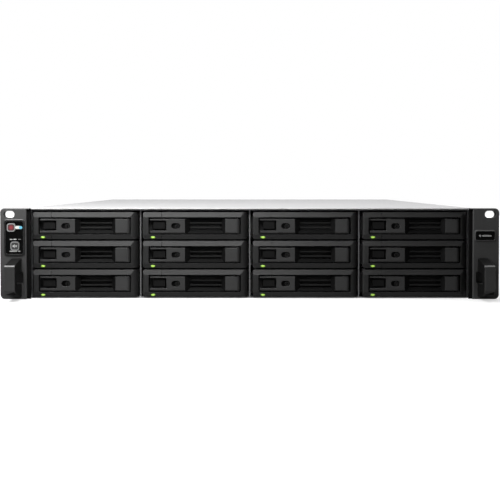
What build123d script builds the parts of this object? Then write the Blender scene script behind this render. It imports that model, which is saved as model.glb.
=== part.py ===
from build123d import *
import os

# A two-unit rack-mount network storage unit with twelve hot-swap drive bays in four columns of three.
# The frame stands at the bottom centre of the whole object: +X to the right seen from the front,
# +Y from the front to the back and +Z up. All sizes are in millimetres.

# ---------------------------------------------------------------- overall
panel_width = 482.6  # across the rack ears, the 19 inch panel
body_width = 430.5
height = 88.0
overall_depth = 724.0  # from the pull handles to the power supplies' handles
handle_reach = 32.0  # pull handles in front of the ears
psu_handle_reach = 32.0  # power supply handles behind the body
wall = 1.2  # side walls and rear panel
base_sheet = 1.0
cover_sheet = 1.2
clearance = 0.3  # between pieces that move past each other
running_gap = 0.05  # round pins and shafts

ear_face_y = -overall_depth / 2 + handle_reach
body_front_y = ear_face_y + 12.0
body_rear_y = overall_depth / 2 - psu_handle_reach
body_half = body_width / 2
inside_half = body_half - wall
cover_z = height - cover_sheet  # underside of the cover
wall_top_z = cover_z - clearance

# ---------------------------------------------------------------- rack ears
panel_half = panel_width / 2
rack_hole_x = 465.1 / 2
rack_unit = 44.45
panel_gap = (2 * rack_unit - height) / 2  # the panel is a little lower than its two units
upper_slot_z = 2 * rack_unit - 6.35 - panel_gap  # uppermost hole of the two units
lower_slot_z = rack_unit / 2 - panel_gap  # middle hole of the lower unit
slot_width = 6.8
slot_length = 10.6
ear_inner_x = 216.0
ear_lip_x = 212.7  # a lower lip inside the ear's face closes the gap to the trays
ear_lip_depth = 3.0
ear_cover_depth = 5.5
ear_edge = 0.6  # chamfer round the ear's face
bracket_sheet = 2.5
bracket_y = ear_face_y + ear_cover_depth
cover_front_y = bracket_y + clearance
cover_half = body_half - 0.2

# ---------------------------------------------------------------- drive bays
columns = 4
rows = 3
bay_pitch_x = 107.0
bay_pitch_z = 28.05
tray_height = 26.4
tray_face_y = ear_face_y + 6.0
lowest_tray_z = 1.6
bezel_x = (-50.4, 51.6)  # about the bay's centre
bezel_depth = 14.0
bay_centres = [
    (bay_pitch_x * (column - (columns - 1) / 2), lowest_tray_z + bay_pitch_z * row)
    for row in reversed(range(rows))
    for column in range(columns)
]  # numbered from the top left, row by row

# the bezel's window, in the tray's own frame: bay centre, front face, lower edge
window_x = (-44.9, 45.0)
window_z = (4.6, 21.4)
window_depth = 10.0
rim_slope = 1.6  # how far the upper and lower rims lean back

# the swing lever that fills the window
lever_face_y = 1.0
lever_x = (-43.5, 44.2)
lever_z = (5.5, 19.8)
lever_thickness = 5.0
barrel_r = 3.9
pivot_x = lever_x[1] - barrel_r
pivot_y = lever_face_y + barrel_r
pin_r = 1.25
pin_end_gap = 1.5
lock_x, lock_z, lock_r = -17.1, 12.45, 2.3
lock_pit_depth = 2.6
lock_core_setback = 1.0
light_x, light_z = -40.6, 1.95
light_size = (4.4, 2.2)

# the release button in the lever's fork
button_x = (-40.9, -28.7)
button_z = (9.5, 17.2)
button_face_y = 3.4
fork_x = -27.5
fork_z = (8.3, 18.3)
stem_x = (-37.1, -32.5)
stem_z = (11.6, 14.8)

# the air opening in the bezel's rear wall, with a dust filter behind it
air_x = (-7.0, 29.0)
air_z = (7.5, 19.0)
filter_margin = 1.5
filter_thickness = 1.0

# the drive and its carrier
drive_size = (101.6, 147.0, 26.1)
drive_y = 24.0
drive_z = 0.15
rail_end_y = 178.0
rail_thickness = 1.2
rail_z = (3.0, 23.0)
rail_x = drive_size[0] / 2 + 0.1

# ---------------------------------------------------------------- inside
cage_front_y = tray_face_y + 10.0
cage_sheet = 1.2
backplane_y = tray_face_y + 182.0
backplane_sheet = 2.4
fan_y = backplane_y + 34.0
fan_size = 80.0
fan_depth = 38.0
fan_z = 3.0
fan_bore_r = 37.6
impeller_r = 36.4
hub_r = 18.0
shaft_r = 1.5
fan_centres = [105.0 * (number - 1.5) for number in range(4)]
board_x = (-211.0, 128.0)
board_y = (-56.0, 322.0)
board_z = 7.0
board_sheet = 1.6
psu_size = (73.5, 185.0, 39.0)
psu_centre_x = 172.0
psu_floors = (44.6, 2.2)  # underside of each module, the upper one first
psu_gap = 0.5  # round a module in its bay
port_z = board_z + board_sheet
port_row = [-78.0, -60.0, -42.0, -24.0]  # network ports
usb_row = [-100.0]
port_window = (16.6, 13.9)  # in the rear panel, round each network port and above the board
usb_window = (14.8, 16.2)
slot_cover_x = [-196.0, -175.7, -155.4, -135.1]
slot_cover_z = (5.0, 82.0)

os.makedirs("parts", exist_ok=True)


def block(x, y, z, mode=Mode.ADD):
    """Adds a box given by three (low, high) ranges to the part that is being built."""
    ranges = (x, y, z)
    with Locations(tuple((low + high) / 2 for low, high in ranges)):
        Box(*(high - low for low, high in ranges), mode=mode)


def save(part, name):
    """Labels a finished piece and writes it as the node of that name."""
    part.label = name
    export_step(part, f"parts/{name}.step")


def group(*items):
    """Several separate solids as one node."""
    return Compound(children=[solid for item in items for solid in item.solids()])


def mirrored(part):
    """The piece on the other side of the object."""
    return mirror(part, about=Plane.YZ)


# ================================================================ drive trays
def make_bezel():
    """The tray's front frame: sloping upper and lower rims, rounded ends and a window for the lever."""
    left_r, right_r, corner_r = 1.5, 9.0, 1.8
    left, right = bezel_x
    with BuildPart() as bezel:
        with BuildSketch(Plane.XY):
            with BuildLine():
                FilletPolyline(
                    (left, bezel_depth),
                    (left, 0),
                    (right, 0),
                    (right, bezel_depth),
                    radius=[left_r, right_r],
                )
                Line((right, bezel_depth), (left, bezel_depth))
            make_face()
        extrude(amount=tray_height)
        with BuildSketch(Plane.YZ.offset(left)):
            with BuildLine():
                Polyline(
                    (bezel_depth, 0),
                    (rim_slope, 0),
                    (0, window_z[0]),
                    (0, window_z[1]),
                    (rim_slope, tray_height),
                    (bezel_depth, tray_height),
                    close=True,
                )
            make_face()
        extrude(amount=right - left, mode=Mode.INTERSECT)
        with BuildSketch(Plane.XZ):
            with Locations(((left + right) / 2, tray_height / 2)):
                RectangleRounded(right - left, tray_height, corner_r)
        extrude(amount=-bezel_depth, mode=Mode.INTERSECT)
        # window, with a wall left standing behind it
        with BuildSketch(Plane.XZ):
            with Locations((sum(window_x) / 2, sum(window_z) / 2)):
                RectangleRounded(window_x[1] - window_x[0], window_z[1] - window_z[0], 1.4)
        extrude(amount=-window_depth, mode=Mode.SUBTRACT)
        # air opening and the button stem's guide in that wall
        behind = (window_depth - 1, bezel_depth + 1)
        block(air_x, behind, air_z, mode=Mode.SUBTRACT)
        guide_x = (stem_x[0] - clearance, stem_x[1] + clearance)
        guide_z = (stem_z[0] - clearance, stem_z[1] + clearance)
        block(guide_x, behind, guide_z, mode=Mode.SUBTRACT)
        # parting line across both rims
        for rim_z in ((-1, window_z[0]), (window_z[1], tray_height + 1)):
            block((-32.35, -32.05), (-1, rim_slope + 0.35), rim_z, mode=Mode.SUBTRACT)
        # hinge pin hole and light pipe hole
        with BuildSketch(Plane.XY.offset(pin_end_gap)):
            with Locations((pivot_x, pivot_y)):
                Circle(pin_r)
        extrude(amount=tray_height - 2 * pin_end_gap, mode=Mode.SUBTRACT)
        with BuildSketch(Plane.XZ.offset(1)):
            with Locations((light_x, light_z)):
                SlotOverall(*light_size)
        extrude(amount=-bezel_depth - 2, mode=Mode.SUBTRACT)
    return bezel.part


def make_carrier_rail(screw_y):
    """One side rail of a tray, with its screw holes and a long lightening opening."""
    with BuildPart() as rail:
        block((rail_x, rail_x + rail_thickness), (bezel_depth, rail_end_y), rail_z)
        block((rail_x - 6, rail_x), (bezel_depth, bezel_depth + rail_thickness), (5, 21))
        rear_corners = rail.edges().filter_by(Axis.X).group_by(Axis.Y)[-1]
        fillet(rear_corners, 3.0)
        with Locations(*[(rail_x, y, 6.5) for y in screw_y]):
            Cylinder(1.9, 6, rotation=(0, 90, 0), mode=Mode.SUBTRACT)
        opening_y = (drive_y + 36, drive_y + 96)
        block((rail_x - 1, rail_x + 3), opening_y, (11, 18), mode=Mode.SUBTRACT)
    return rail.part


def make_dust_filter():
    """A thin filter pad on the back of the bezel, over its air opening."""
    with BuildPart() as pad:
        block(
            (air_x[0] - filter_margin, air_x[1] + filter_margin),
            (bezel_depth, bezel_depth + filter_thickness),
            (air_z[0] - filter_margin, air_z[1] + filter_margin),
        )
        corners = pad.edges().filter_by(Axis.Y)
        fillet(corners, 1.0)
    return pad.part


def make_drive():
    """The hard drive: stepped lid edges, a round bearing mark and the connector recess."""
    half = drive_size[0] / 2
    lid_z = drive_z + drive_size[2]
    rear_y = drive_y + drive_size[1]
    with BuildPart() as drive:
        block((-half, half), (drive_y, rear_y), (drive_z, lid_z))
        vertical = drive.edges().filter_by(Axis.Z)
        fillet(vertical, 2.5)
        for x in (-half, half):
            step_y = (drive_y + 20, rear_y - 20)
            block((x - 2, x + 2), step_y, (lid_z - 1.2, lid_z + 1), mode=Mode.SUBTRACT)
        with Locations((-10, drive_y + 52, lid_z)):
            Cylinder(17, 0.8, mode=Mode.SUBTRACT)
        block((-30, 20), (rear_y - 6, rear_y + 1), (0, 4), mode=Mode.SUBTRACT)
    return drive.part


def make_carrier():
    """All that travels with a bezel: rails, drive, its screws, dust filter, hinge pin and light pipe."""
    screw_y = [drive_y + 16.0, drive_y + 16.0 + 101.6]
    rail = make_carrier_rail(screw_y)
    with BuildPart() as screws:
        with Locations(*[(rail_x + 0.5, y, 6.5) for y in screw_y]):
            Cylinder(1.85, 0.9, rotation=(0, 90, 0))
    with BuildPart() as pin:
        with BuildSketch(Plane.XY.offset(pin_end_gap)):
            with Locations((pivot_x, pivot_y)):
                Circle(pin_r)
        extrude(amount=tray_height - 2 * pin_end_gap)
    with BuildPart() as light_pipe:
        with BuildSketch(Plane.XZ.offset(-0.7)):
            with Locations((light_x, light_z)):
                SlotOverall(*light_size)
        extrude(amount=-bezel_depth - 3)
    return group(
        rail,
        mirrored(rail),
        screws.part,
        mirrored(screws.part),
        make_drive(),
        make_dust_filter(),
        pin.part,
        light_pipe.part,
    )


def make_lever():
    """The swing lever: fork for the button, lock pit, air scoop with three slots, grip and barrel."""
    x0, x1 = lever_x
    z0, z1 = lever_z
    face = lever_face_y
    back = face + lever_thickness
    scoop_floor_y = face + 3.4
    scoop_x = (-9.6, -4.6, 26.1, 29.8)
    with BuildPart() as scoop:
        with BuildSketch(Plane.XY.offset(z0 - 1)):
            with BuildLine():
                Polyline(
                    (scoop_x[0], face - 0.01),
                    (scoop_x[1], scoop_floor_y),
                    (scoop_x[2], scoop_floor_y),
                    (scoop_x[3], face - 0.01),
                    close=True,
                )
            make_face()
        extrude(amount=z1 - z0 + 2)
        with BuildSketch(Plane.YZ.offset(scoop_x[0] - 1)):
            with BuildLine():
                Polyline(
                    (face - 1, z0 - 1),
                    (face - 1, z1 + 1),
                    (scoop_floor_y, z1 + 1),
                    (scoop_floor_y, z0 + 2.9),
                    (face + 0.6, z0 - 1),
                    close=True,
                )
            make_face()
        extrude(amount=scoop_x[3] - scoop_x[0] + 2, mode=Mode.INTERSECT)
    with BuildPart() as lever:
        with BuildSketch(Plane.XY.offset(z0)):
            with Locations(((x0 + pivot_x) / 2, (face + back) / 2)):
                Rectangle(pivot_x - x0, lever_thickness)
            with Locations((pivot_x, pivot_y)):
                Circle(barrel_r)
                Circle(pin_r + running_gap, mode=Mode.SUBTRACT)
        extrude(amount=z1 - z0)
        # softened upper and lower front edges
        with BuildSketch(Plane.YZ.offset(x0)):
            with BuildLine():
                Polyline(
                    (back + 4, z0),
                    (face + 0.7, z0),
                    (face, z0 + 1.1),
                    (face, z1 - 0.4),
                    (face + 0.4, z1),
                    (back + 4, z1),
                    close=True,
                )
            make_face()
        extrude(amount=x1 - x0, mode=Mode.INTERSECT)
        # fork round the release button
        block((x0 - 1, fork_x), (face - 1, back + 1), fork_z, mode=Mode.SUBTRACT)
        add(scoop.part, mode=Mode.SUBTRACT)
        for slot_z in ((8.7, 10.5), (12.0, 15.2), (16.3, 18.8)):
            block((scoop_x[1], scoop_x[2]), (face, back + 1), slot_z, mode=Mode.SUBTRACT)
        # lock pit and the bore of its core
        with BuildSketch(Plane.XZ.offset(-face + 1)):
            with Locations((lock_x - 1.4, lock_z + 0.4)):
                SlotOverall(8.6, 5.6)
        extrude(amount=-1 - lock_pit_depth, mode=Mode.SUBTRACT)
        with BuildSketch(Plane.XZ.offset(-face)):
            with Locations((lock_x, lock_z)):
                Circle(lock_r)
        extrude(amount=-lever_thickness + 0.8, mode=Mode.SUBTRACT)
    with BuildPart() as lock_core:
        with BuildSketch(Plane.XZ.offset(-face - lock_core_setback)):
            with Locations((lock_x, lock_z)):
                Circle(lock_r - running_gap)
                Circle(0.85, mode=Mode.SUBTRACT)
            with Locations((lock_x, lock_z - 1.0)):
                Rectangle(0.7, 1.6, mode=Mode.SUBTRACT)
        extrude(amount=-lever_thickness + lock_core_setback + 1.0)
    return group(lever.part, lock_core.part)


def make_release_button():
    """The square release button and its guide stem."""
    stem_end_y = bezel_depth + 1.0
    with BuildPart() as button:
        block(button_x, (button_face_y, button_face_y + 3.4), button_z)
        rim = button.faces().sort_by(Axis.Y)[0].edges()
        fillet(rim, 0.7)
        block(stem_x, (button_face_y + 3.4, stem_end_y), stem_z)
    return button.part


tray = group(make_bezel(), make_carrier())
lever = make_lever()
release_button = make_release_button()
for number, (x, z) in enumerate(bay_centres, start=1):
    place = Location((x, tray_face_y, z))
    save(tray.moved(place), f"drive_tray_{number:02d}")
    save(lever.moved(place), f"tray_lever_{number:02d}")
    save(release_button.moved(place), f"release_button_{number:02d}")


# ================================================================ sheet metal body
def make_base_pan():
    """The floor sheet between the side walls."""
    with BuildPart() as pan:
        block((-inside_half, inside_half), (body_front_y, body_rear_y - wall), (0, base_sheet))
    return pan.part


def make_standoffs():
    """Stand-offs under the main board."""
    with BuildPart() as standoffs:
        with Locations(*[(x, y, (base_sheet + board_z) / 2) for x in standoff_x for y in standoff_y]):
            Cylinder(3.0, board_z - base_sheet)
    return standoffs.part


def make_side_wall():
    """The right side wall, with tapped holes for a slide rail and countersinks for the cage's screws."""
    with BuildPart() as side:
        block((inside_half, body_half), (body_front_y, body_rear_y), (0, wall_top_z))
        lower_outer_edge = side.edges().filter_by(Axis.Y).sort_by(Axis.Z)[:2].sort_by(Axis.X)[-1]
        fillet(lower_outer_edge, 1.0)
        with Locations(*[(body_half, y, rail_hole_z) for y in rail_hole_y]):
            Cylinder(rail_hole_r, 6, rotation=(0, 90, 0), mode=Mode.SUBTRACT)
        with Locations(*side_screw_places):
            Cone(*side_screw_cone, rotation=(0, 90, 0), mode=Mode.SUBTRACT)
    return side.part


def make_rear_panel():
    """The rear panel, as sheets round the row of ports, with a honeycomb of air holes."""
    past_rear = (body_rear_y - wall - 1, body_rear_y + 1)
    jacks_x = (port_row[0] - port_window[0] / 2, port_row[-1] + port_window[0] / 2)
    usb_x = (usb_row[0] - usb_window[0] / 2, usb_row[-1] + usb_window[0] / 2)
    ports_z = (port_z - 0.2, port_z + port_window[1])
    fields = [
        ((-inside_half, usb_x[0]), (0, wall_top_z)),
        ((jacks_x[1], inside_half), (0, wall_top_z)),
        ((usb_x[0], jacks_x[1]), (0, ports_z[0])),
        ((usb_x[1], jacks_x[0]), ports_z),
        ((usb_x[0], jacks_x[1]), (ports_z[1], wall_top_z)),
    ]
    sheets = []
    for x_range, z_range in fields:
        with BuildPart() as sheet:
            block(x_range, (body_rear_y - wall, body_rear_y), z_range)
            for floor_z in psu_floors:
                opening_z = (floor_z - psu_gap, floor_z + psu_size[2] + psu_gap)
                block(supply_bay_x, past_rear, opening_z, mode=Mode.SUBTRACT)
            for x in slot_cover_x:
                block((x - 6, x + 6), past_rear, (9, 78), mode=Mode.SUBTRACT)
            block(usb_x, past_rear, (ports_z[0], port_z + usb_window[1]), mode=Mode.SUBTRACT)
            with BuildSketch(Plane.XZ.offset(-body_rear_y - 1)):
                with Locations((vent_centre_x, vent_centre_z)):
                    with HexLocations(vent_cell / 2, *vent_cells):
                        RegularPolygon(vent_cell / 2 - 0.6, 6, rotation=30)
            extrude(amount=wall + 2, mode=Mode.SUBTRACT)
        sheets.append(sheet.part)
    return group(*sheets)


def make_supply_bay():
    """The supply bay's inner wall and the shelf between its two modules."""
    bay_y = (body_rear_y - psu_size[1] - 8.0, body_rear_y - wall)
    shelf_z = psu_floors[1] + psu_size[2] + psu_gap
    with BuildPart() as inner_wall:
        block((supply_bay_x[0] - wall, supply_bay_x[0]), bay_y, (base_sheet, wall_top_z))
    with BuildPart() as shelf:
        block((supply_bay_x[0], inside_half), bay_y, (shelf_z, shelf_z + 1))
    return group(inner_wall.part, shelf.part)


supply_bay_x = (psu_centre_x - psu_size[0] / 2 - psu_gap, psu_centre_x + psu_size[0] / 2 + psu_gap)
rail_hole_y = (-200.0, -60.0, 80.0, 220.0)
rail_hole_z = 44.0
rail_hole_r = 2.1
vent_centre_x, vent_centre_z = 48.0, 48.0
vent_cell = 8.4
vent_cells = (17, 7)
standoff_x = (-195.0, -60.0, 110.0)
standoff_y = (-45.0, 130.0, 305.0)
side_screw_cone = (1.6, 2.7, 1.1)  # lower and upper radius and height of a countersunk head
side_screw_places = [(body_half - side_screw_cone[2] / 2, y, z) for y in (-235.0, -165.0) for z in (12.0, 76.0)]


def make_slot_covers():
    """Blank covers over the expansion openings, each hooked at the foot and screwed at the top."""
    outer_y = body_rear_y - wall - 0.9
    with BuildPart() as covers:
        for x in slot_cover_x:
            block((x - 9.2, x + 9.2), (outer_y, outer_y + 0.9), slot_cover_z)
            block((x - 9.2, x + 9.2), (outer_y - 10, outer_y), (slot_cover_z[1] - 0.9, slot_cover_z[1]))
            with Locations(*[(x, outer_y, 16 + 5.5 * step) for step in range(11)]):
                Box(8.0, 6.0, 2.6, mode=Mode.SUBTRACT)
    return covers.part


def make_drive_cage():
    """Column dividers, side plates and top plate, with the guide ledges every tray runs on."""
    rear_y = backplane_y - 0.6
    top_z = wall_top_z
    plate_xs = [bay_pitch_x * (number - 1) for number in range(columns - 1)]
    side_plate = (inside_half - 1.05, inside_half - 0.15)
    ledge_width = bay_pitch_x / 2 - cage_sheet / 2 - (drive_size[0] / 2 + clearance)
    with BuildPart() as cage:
        for x in plate_xs:
            plate_x = (x - cage_sheet / 2, x + cage_sheet / 2)
            block(plate_x, (cage_front_y, rear_y), (base_sheet, top_z))
        for side in (-1, 1):
            plate_x = sorted((side * side_plate[0], side * side_plate[1]))
            block(plate_x, (cage_front_y, rear_y), (base_sheet, top_z))
        block((-side_plate[1], side_plate[1]), (cage_front_y, rear_y), (top_z - 1, top_z))
        for bay_x, bay_z in bay_centres:
            ledge_z = bay_z + rail_z[0] - clearance
            for side in (-1, 1):
                edge = bay_x + side * (bay_pitch_x / 2 - cage_sheet / 2)
                ledge_x = sorted((edge + side * 0.1, edge - side * ledge_width))
                if abs(bay_x + side * bay_pitch_x / 2) > columns * bay_pitch_x / 2 - 1:
                    ledge_x = sorted((side * side_plate[1], edge - side * ledge_width))
                block(ledge_x, (cage_front_y + 14, rear_y - 12), (ledge_z - 1, ledge_z))
    return cage.part


def make_top_cover():
    """The cover sheet with a hemmed front edge, and its side flanges behind the cage."""
    rear_y = body_rear_y - 0.2
    flange_x = (inside_half - clearance - cover_sheet, inside_half - clearance)
    flange_y = (backplane_y + 6, body_rear_y - 40)
    with BuildPart() as cover:
        block((-cover_half, cover_half), (cover_front_y, rear_y), (cover_z, height))
        corners = cover.edges().filter_by(Axis.Z)
        fillet(corners, 1.5)
        front = cover.faces().sort_by(Axis.Y)[0].edges().filter_by(Axis.X)
        fillet(front, 0.35)
        with Locations(*[(x, y, height) for x, y in cover_screw_places]):
            CounterSinkHole(1.6, 3.0, counter_sink_angle=90)
    with BuildPart() as flange:
        block(flange_x, flange_y, (cover_z - 7, cover_z))
    return group(cover.part, flange.part, mirrored(flange.part))


cover_screw_places = [(side * 196.0, y) for side in (-1, 1) for y in (-304.0, -40.0, 312.0)]


def make_cover_screws():
    """Countersunk screws of the cover, with cross recesses."""
    with BuildPart() as screws:
        for x, y in cover_screw_places:
            with Locations((x, y, height - 0.55)):
                Cone(1.65, 2.75, 1.1)
            with Locations((x, y, height)):
                Box(2.8, 0.6, 1.0, mode=Mode.SUBTRACT)
                Box(0.6, 2.8, 1.0, mode=Mode.SUBTRACT)
    return screws.part


side_wall = make_side_wall()
save(
    group(
        make_base_pan(),
        side_wall,
        mirrored(side_wall),
        make_rear_panel(),
        make_supply_bay(),
        make_standoffs(),
        make_slot_covers(),
    ),
    "chassis_base",
)
save(make_drive_cage(), "drive_cage")
save(make_top_cover(), "top_cover")
save(make_cover_screws(), "cover_screws")


# ================================================================ rack ears
def rack_slot_sketch(x, z):
    """A rack slot's outline on the sketch plane."""
    with Locations((x, z)):
        SlotOverall(slot_length, slot_width)


def make_ear_bracket():
    """The right ear's steel bracket: slotted flange in front and a leg along the body's side."""
    leg_x = (body_half + 0.1, body_half + 0.1 + bracket_sheet)
    with BuildPart() as bracket:
        block((leg_x[0], panel_half - 0.5), (bracket_y, bracket_y + bracket_sheet), (0.5, height - 0.5))
        block(leg_x, (bracket_y, bracket_y + 82), (6, height - 6))
        inner_bend = bracket.edges().filter_by(Axis.Z).filter_by_position(
            Axis.X, leg_x[1] - 0.1, leg_x[1] + 0.1
        ).filter_by_position(Axis.Y, bracket_y + bracket_sheet - 0.1, bracket_y + bracket_sheet + 0.1)
        fillet(inner_bend, 1.5)
        outer = bracket.edges().filter_by(Axis.Y).group_by(Axis.X)[-1]
        fillet(outer, 4.0)
        leg_end = bracket.edges().filter_by(Axis.X).group_by(Axis.Y)[-1]
        fillet(leg_end, 8.0)
        with BuildSketch(Plane.XZ.offset(-bracket_y + 1)):
            rack_slot_sketch(rack_hole_x, upper_slot_z)
            rack_slot_sketch(rack_hole_x, lower_slot_z)
        extrude(amount=-bracket_sheet - 2, mode=Mode.SUBTRACT)
    return bracket.part


def make_body_screws():
    """The right side's screws: pan heads on the bracket's leg, countersunk ones that hold the drive cage."""
    leg_face = body_half + 0.1 + bracket_sheet
    with BuildPart() as screws:
        for y in (bracket_y + 28, bracket_y + 64):
            for z in (22.0, 66.0):
                with Locations((leg_face + 0.9, y, z)):
                    Cylinder(3.4, 1.8, rotation=(0, 90, 0))
                with Locations((leg_face + 1.8, y, z)):
                    Box(1.6, 0.8, 4.4, mode=Mode.SUBTRACT)
                    Box(1.6, 4.4, 0.8, mode=Mode.SUBTRACT)
        for place in side_screw_places:
            with Locations(place):
                Cone(*side_screw_cone, rotation=(0, 90, 0))
            with Locations((body_half, *place[1:])):
                Box(1.0, 0.6, 2.8, mode=Mode.SUBTRACT)
                Box(1.0, 2.8, 0.6, mode=Mode.SUBTRACT)
    return screws.part


# pocket, raised frames and their inserts, as on the right ear: low x, low z, high x, high z
finger_pocket = (218.9, 15.3, 237.6, 26.8)
panel_frame = (217.2, 41.6, 237.6, 77.4)
panel_insert = (218.9, 43.7, 235.9, 75.3)
plate_frame = (217.2, 55.8, 238.0, 66.9)
plate_insert = (218.4, 57.1, 236.8, 65.6)
panel_corner_r = 2.3
plate_corner_r = 1.6
insert_thickness = 1.6
frame_height = 1.1  # in front of the ear's face
insert_setback = 0.4  # behind the frame's front
insert_face_y = ear_face_y - frame_height + insert_setback
power_place = (230.5, 69.4)
mute_place = (226.9, 51.4)
power_size = 8.4
mute_size = 8.8
button_corner_r = 2.6
button_depth = 3.6


def outline(rect, corner_r):
    """A rounded rectangle given by its lowest and highest corners, on the sketch plane."""
    x0, z0, x1, z1 = rect
    with Locations(((x0 + x1) / 2, (z0 + z1) / 2)):
        RectangleRounded(x1 - x0, z1 - z0, corner_r)


def make_ear_cover(frame, insert, corner_r, holes):
    """A moulded ear face, drawn as the right one: raised frame with a seat for the insert, button holes."""
    past_frame = ear_face_y - frame_height - 1
    with BuildPart() as cover:
        with BuildSketch(Plane.XZ.offset(-ear_face_y)):
            with BuildLine():
                Polyline((ear_lip_x, 0), (panel_half, 0), (panel_half, height), (ear_lip_x, height), close=True)
            make_face()
            outer = vertices().filter_by_position(Axis.X, panel_half - 0.1, panel_half + 0.1)
            fillet(outer, 4.5)
        extrude(amount=-ear_cover_depth)
        lip_x = (ear_lip_x - 1, ear_inner_x)
        block(lip_x, (ear_face_y - 1, ear_face_y + ear_lip_depth), (-1, height - 1.6), mode=Mode.SUBTRACT)
        face_edges = cover.faces().filter_by(Axis.Y).sort_by(Axis.Y)[0].edges()
        chamfer(face_edges, ear_edge)
        with BuildSketch(Plane.XZ.offset(-ear_face_y)):
            outline(frame, corner_r + 1.0)
        extrude(amount=frame_height)
        frame_edges = cover.faces().filter_by(Axis.Y).sort_by(Axis.Y)[0].edges()
        chamfer(frame_edges, length=frame_height - 0.1, length2=0.7)
        with BuildSketch(Plane.XZ.offset(-past_frame)):
            rack_slot_sketch(rack_hole_x, upper_slot_z)
            outline(finger_pocket, 1.5)
            for place, size in holes:
                with Locations(place):
                    RectangleRounded(size + 1.0, size + 1.0, button_corner_r)
        extrude(amount=past_frame - bracket_y - 1, mode=Mode.SUBTRACT)
        with BuildSketch(Plane.XZ.offset(-past_frame)):
            outline(insert, corner_r)
        extrude(amount=past_frame - insert_face_y - insert_thickness, mode=Mode.SUBTRACT)
    return cover.part


def make_insert(rect, corner_r, holes):
    """A glossy plate seated in an ear's frame, with clearance round each button."""
    with BuildPart() as insert:
        with BuildSketch(Plane.XZ.offset(-insert_face_y)):
            outline(rect, corner_r)
            for (x, z), size in holes:
                with Locations((x, z)):
                    gap = 2 * clearance
                    RectangleRounded(size + gap, size + gap, button_corner_r + clearance, mode=Mode.SUBTRACT)
        extrude(amount=-insert_thickness)
        front = insert.faces().sort_by(Axis.Y)[0].outer_wire().edges()
        fillet(front, 0.3)
    return insert.part


def make_panel_button(place, size):
    """A small rounded-square push button."""
    with BuildPart() as button:
        with BuildSketch(Plane.XZ.offset(-insert_face_y + 0.2)):
            with Locations(place):
                RectangleRounded(size, size, button_corner_r)
        extrude(amount=-button_depth)
        front = button.faces().sort_by(Axis.Y)[0].edges()
        fillet(front, 0.4)
    return button.part


def make_pull_handle():
    """The right pull handle: a loop that leans down from a broad root, open behind for the fingers."""
    x0, x1 = 220.6, 230.6
    y0 = ear_face_y
    with BuildPart() as handle:
        with BuildSketch(Plane.YZ.offset(x0)):
            with BuildLine():
                FilletPolyline(
                    (y0, 39.5),
                    (y0 - handle_reach + 1.3, 34.8),
                    (y0 - handle_reach, 33.5),
                    (y0 - handle_reach, 10.5),
                    (y0 - 27.0, 6.4),
                    (y0 - 14.0, 3.9),
                    (y0, 2.6),
                    radius=[0.6, 0.6, 1.5, 2.0, 2.0],
                )
                Line((y0, 2.6), (y0, 39.5))
            make_face()
            with BuildLine():
                FilletPolyline(
                    (y0 + 1, 26.8),
                    (y0 - 20.0, 26.4),
                    (y0 - 22.5, 24.0),
                    (y0 - 22.5, 18.0),
                    (y0 - 20.0, 15.6),
                    (y0 + 1, 15.3),
                    radius=1.5,
                )
                Line((y0 + 1, 15.3), (y0 + 1, 26.8))
            make_face(mode=Mode.SUBTRACT)
        extrude(amount=x1 - x0)
        sides = handle.faces().filter_by(Axis.X)
        rims = sides.edges().filter_by(lambda edge: edge.bounding_box().min.Y < y0 - 0.5)
        fillet(rims, 0.5)
    return handle.part


panel_buttons = [(power_place, power_size), (mute_place, mute_size)]
bracket = make_ear_bracket()
body_screws = make_body_screws()
pull_handle = make_pull_handle()
save(group(bracket, mirrored(bracket)), "rack_ear_brackets")
save(group(body_screws, mirrored(body_screws)), "body_screws")
save(
    group(
        mirrored(make_ear_cover(panel_frame, panel_insert, panel_corner_r, panel_buttons)),
        make_ear_cover(plate_frame, plate_insert, plate_corner_r, []),
    ),
    "ear_covers",
)
save(group(pull_handle, mirrored(pull_handle)), "pull_handles")
save(mirrored(make_insert(panel_insert, panel_corner_r, panel_buttons)), "control_window")
save(make_insert(plate_insert, plate_corner_r, []), "name_plate")
save(mirrored(make_panel_button(power_place, power_size)), "power_button")
save(mirrored(make_panel_button(mute_place, mute_size)), "mute_button")


# ================================================================ backplane and fans
def make_backplane():
    """The drive backplane: air openings between the bays and a connector for every drive."""
    face = backplane_y
    half = inside_half - 1.4
    with BuildPart() as board:
        block((-half, half), (face, face + backplane_sheet), (3, 84))
        for x, z in bay_centres:
            for step in range(6):
                left = x - 45 + 15.3 * step
                block((left, left + 11), (face - 1, face + 4), (z + 8, z + 20), mode=Mode.SUBTRACT)
    with BuildPart() as sockets:
        for x, z in bay_centres:
            block((x - 28.5, x + 18.5), (face - 15.2, face), (z + 0.9, z + 3.4))
        for x in (-150, -50, 50, 150):
            block((x - 14, x + 14), (face + backplane_sheet, face + 12), (34, 46))
    return group(board.part, sockets.part)


def make_fan_frame():
    """One fan housing, centred on its own axis: square frame, bore, corner holes, spokes and motor post."""
    half = fan_size / 2
    with BuildPart() as frame:
        with BuildSketch(Plane.XZ.offset(-fan_y)):
            RectangleRounded(fan_size, fan_size, 4.0)
            Circle(fan_bore_r, mode=Mode.SUBTRACT)
            with GridLocations(fan_size - 8.5, fan_size - 8.5, 2, 2):
                Circle(2.2, mode=Mode.SUBTRACT)
        extrude(amount=-fan_depth)
        rear = Plane.XZ.offset(-fan_y - fan_depth + 3.0)
        with BuildSketch(rear):
            Circle(hub_r)
            with PolarLocations((hub_r + half) / 2 - 1, 4, start_angle=45):
                Rectangle(half - hub_r + 5, 3.0)
        extrude(amount=-3.0)
        with BuildSketch(rear):
            Circle(shaft_r)
        extrude(amount=fan_depth - 8.0)
    return frame.part


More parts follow.
